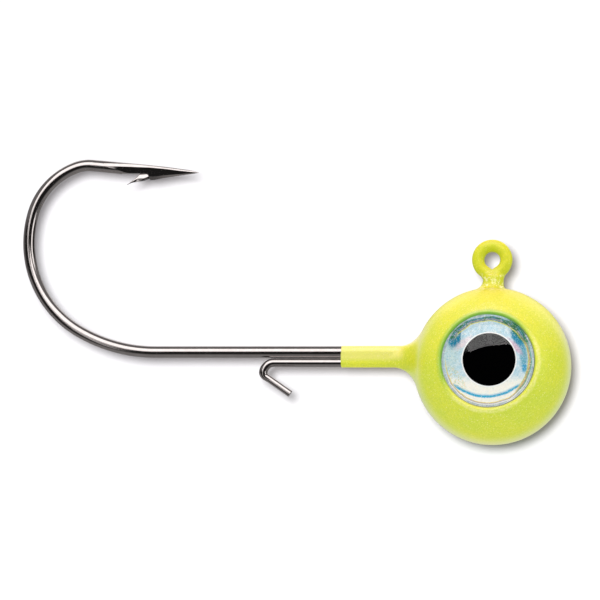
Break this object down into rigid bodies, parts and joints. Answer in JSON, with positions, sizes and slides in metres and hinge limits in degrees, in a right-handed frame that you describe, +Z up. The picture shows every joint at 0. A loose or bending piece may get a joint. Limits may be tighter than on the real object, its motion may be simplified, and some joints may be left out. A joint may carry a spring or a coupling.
{
  "type": "jig head",
  "caption": "Round painted jig head with domed eyes, a line-tie ring on top, a straight-shank hook with a barbed point up and a folded wire bait keeper.",
  "frame": {"origin": "centre of the line-tie hole", "axes": "+Z up, from the ball to the line tie; +X forward over the nose of the ball, so the shank runs along -X; Y square to the plane of the hook, along the line-tie hole"},
  "size_m": [0.0445, 0.0126, 0.0231],
  "materials": {
    "black_nickel": "polished black nickel plate on hardened steel wire",
    "lead": "dull cast lead, hidden under the paint",
    "paint": "baked chartreuse powder paint, satin, with a fine pearl grain",
    "adhesive": "clear acrylic adhesive pad",
    "foil": "pale holographic silver film",
    "white_print": "printed white",
    "black_print": "printed black",
    "clear_resin": "clear domed resin, glossy"
  },
  "bodies": {
    "root": {"hook": "black_nickel", "lead_head": "lead", "keeper_wire": "black_nickel", "powder_coat": "paint", "right_eye_adhesive": "adhesive", "right_eye_foil": "foil", "right_eye_halo": "white_print", "right_eye_pupil": "black_print", "right_eye_lens": "clear_resin", "left_eye_adhesive": "adhesive", "left_eye_foil": "foil", "left_eye_halo": "white_print", "left_eye_pupil": "black_print", "left_eye_lens": "clear_resin"}
  },
  "joints": []
}
